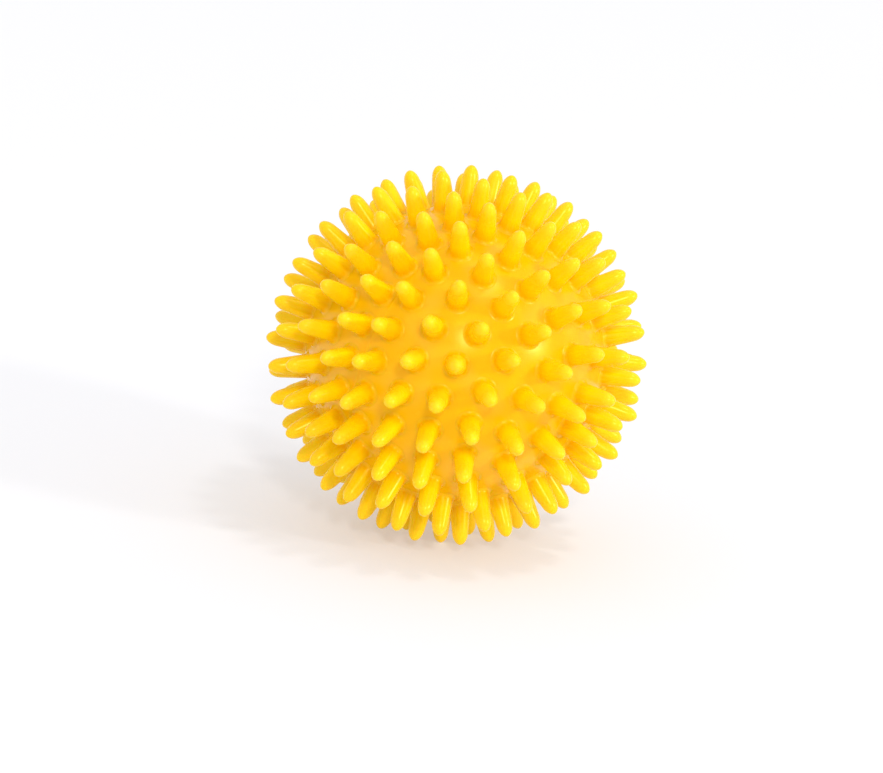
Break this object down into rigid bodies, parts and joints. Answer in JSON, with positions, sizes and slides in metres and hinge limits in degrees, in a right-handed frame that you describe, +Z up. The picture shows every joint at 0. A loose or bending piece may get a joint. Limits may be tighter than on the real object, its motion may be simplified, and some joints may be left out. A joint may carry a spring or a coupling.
{
  "type": "spiky massage ball",
  "caption": "Hollow spiky massage ball in glossy soft PVC, with rings of blunt spikes all over it, an air valve at one pole and a plug that pulls out of the valve.",
  "frame": {"origin": "on the floor, straight below the ball's centre, with the ball standing on the tips of four neighbouring spikes", "axes": "+Z up; -Y towards the viewer of the picture; the moulding axis leans, with its plain pole towards +X and -Y and down, and the valve at the other end"},
  "size_m": [0.0799, 0.0796, 0.0791],
  "materials": {
    "shell_pvc": "gloss",
    "spike_pvc": "gloss",
    "plug_pvc": "satin"
  },
  "bodies": {
    "ball": {"shell": "shell_pvc", "valve_seat": "shell_pvc", "spike_pole": "spike_pvc", "spikes_plain_1": "spike_pvc", "spikes_plain_2": "spike_pvc", "spikes_plain_3": "spike_pvc", "spikes_plain_4": "spike_pvc", "spikes_plain_5": "spike_pvc", "spikes_plain_6": "spike_pvc", "spikes_valve_1": "spike_pvc", "spikes_valve_2": "spike_pvc", "spikes_valve_3": "spike_pvc", "spikes_valve_4": "spike_pvc", "spikes_valve_5": "spike_pvc", "spikes_valve_6": "spike_pvc"},
    "plug": {"valve_plug": "plug_pvc"}
  },
  "joints": [
    {"name": "plug_pull", "type": "slide", "parent": "ball", "child": "plug", "axis": [-0.7603, 0.6102, 0.2226], "range_m": [0, 0.012]}
  ]
}
